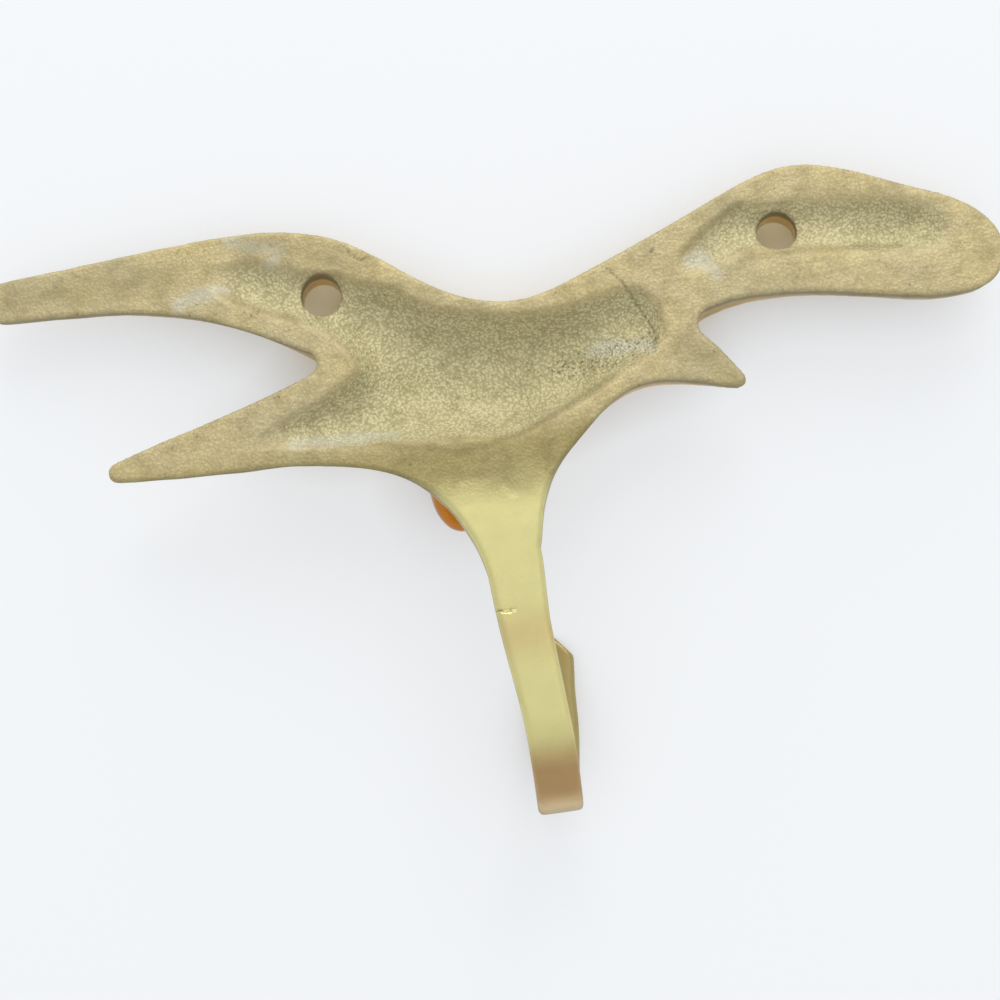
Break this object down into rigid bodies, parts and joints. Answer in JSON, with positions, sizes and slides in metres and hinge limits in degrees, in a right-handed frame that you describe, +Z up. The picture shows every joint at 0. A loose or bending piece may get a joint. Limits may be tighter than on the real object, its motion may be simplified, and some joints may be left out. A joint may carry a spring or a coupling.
{
  "type": "wall hook",
  "caption": "Cast wall hook with a sculpted body, tapered prongs and a rounded lobe, hollowed behind, with a strap that turns up below to hang things on.",
  "frame": {"origin": "on the wall plane, halfway between the two screw holes", "axes": "+Z up as the hook hangs, +Y into the wall, +X to the right seen from the front"},
  "size_m": [0.156, 0.027, 0.0935],
  "materials": {
    "cast_brass": "as cast, dull olive-yellow brass, rough with sand grain in the hollows, smoother lands"
  },
  "bodies": {
    "root": {"hook_casting": "cast_brass"}
  },
  "joints": []
}
